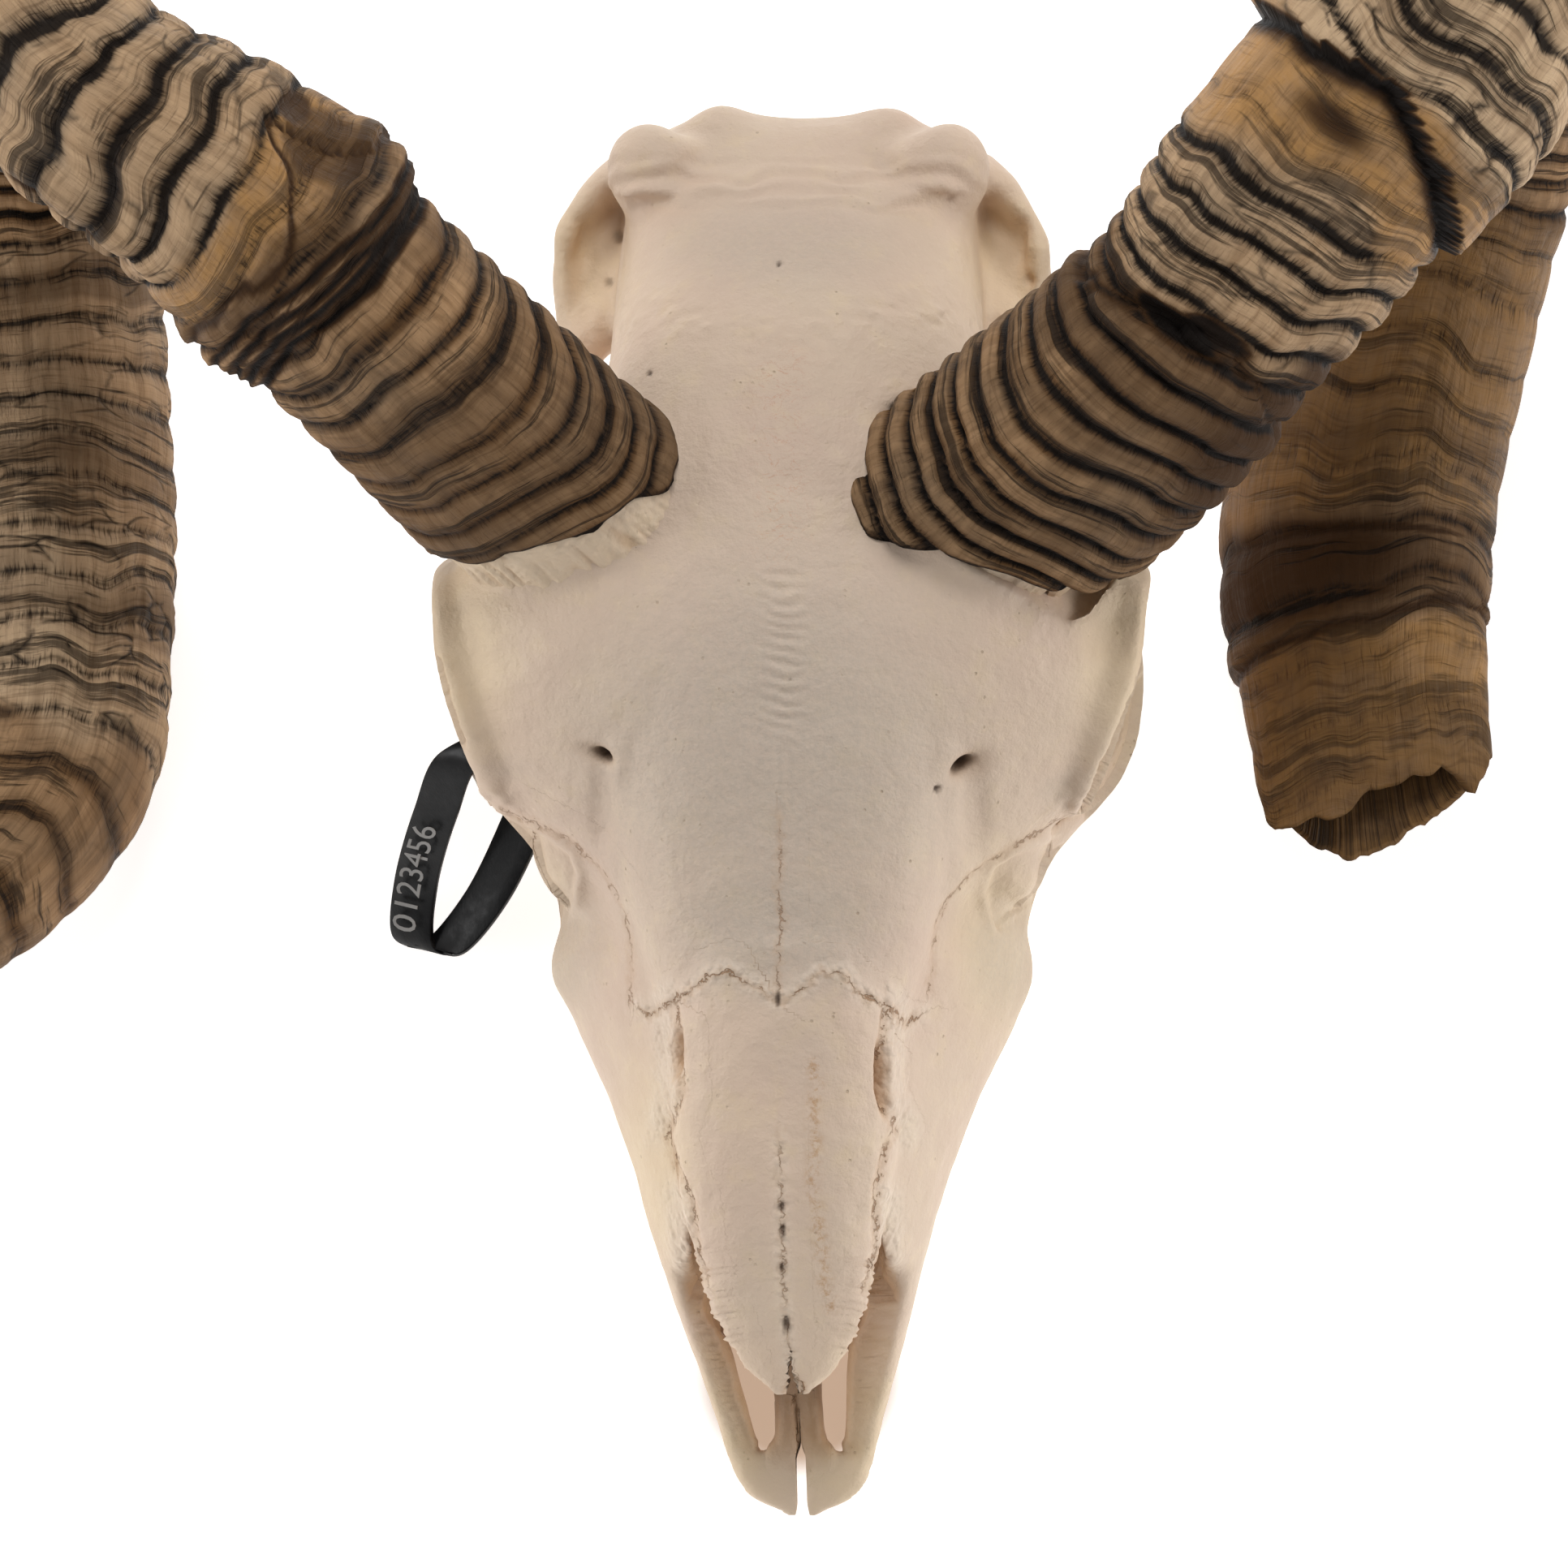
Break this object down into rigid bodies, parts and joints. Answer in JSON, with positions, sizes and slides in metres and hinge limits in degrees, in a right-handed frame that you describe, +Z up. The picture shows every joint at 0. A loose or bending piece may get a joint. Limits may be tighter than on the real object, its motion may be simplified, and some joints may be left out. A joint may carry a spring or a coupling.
{
  "type": "ram skull",
  "caption": "Ram skull without its lower jaw, with ringed curling horns, deep eye sockets, cheek teeth and a narrow strap tag looped round a cheekbone.",
  "frame": {"origin": "middle of the bounding box, on the floor that the cheek teeth and the rear processes stand on", "axes": "+Z up, the snout points to -Y, the animal's left side is +X"},
  "size_m": [0.4276, 0.3502, 0.1972],
  "materials": {
    "bone": "dry cleaned bone, matt, a little glossy on the forehead",
    "horn": "weathered horn, ringed and fibrous, matt",
    "strap": "black plastic strap, satin"
  },
  "bodies": {
    "root": {"braincase_shell": "bone", "occipital": "bone", "frontal_left": "bone", "frontal_right": "bone", "nasal_left": "bone", "nasal_right": "bone", "maxilla_left": "bone", "maxilla_right": "bone", "premaxilla_left": "bone", "premaxilla_right": "bone", "zygomatic_left": "bone", "zygomatic_right": "bone", "horn_left": "horn", "horn_right": "horn", "tag_strap": "strap"}
  },
  "joints": []
}
